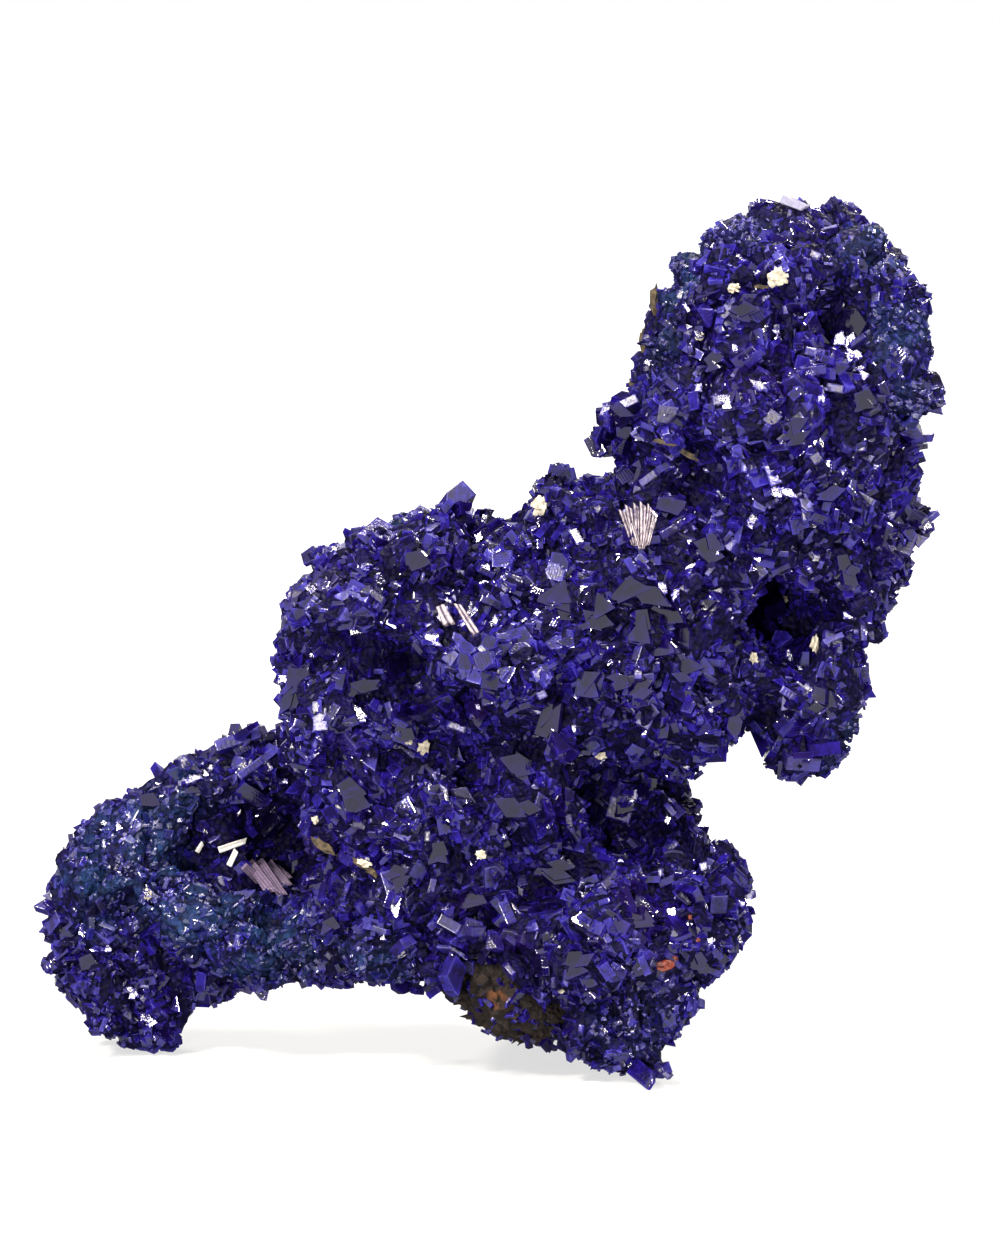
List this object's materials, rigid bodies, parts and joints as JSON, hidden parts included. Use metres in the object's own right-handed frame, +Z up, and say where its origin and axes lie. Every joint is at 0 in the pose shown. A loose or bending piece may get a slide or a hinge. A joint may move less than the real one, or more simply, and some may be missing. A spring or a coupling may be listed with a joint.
{
  "type": "azurite crystal cluster",
  "caption": "Lobed mass of intergrown deep-blue azurite crystals on a scrap of brown limonite, arched over three low feet and rising to a rounded head.",
  "frame": {"origin": "on the ground, under the middle of the bounding box", "axes": "+X along the cluster towards the raised head, -Y towards the viewer of the picture, +Z up"},
  "size_m": [0.064, 0.0308, 0.0608],
  "materials": {
    "azurite": "glossy, vitreous crystal faces",
    "limonite": "matte, earthy"
  },
  "bodies": {
    "root": {"azurite_crystals": "azurite", "limonite_matrix": "limonite"}
  },
  "joints": []
}
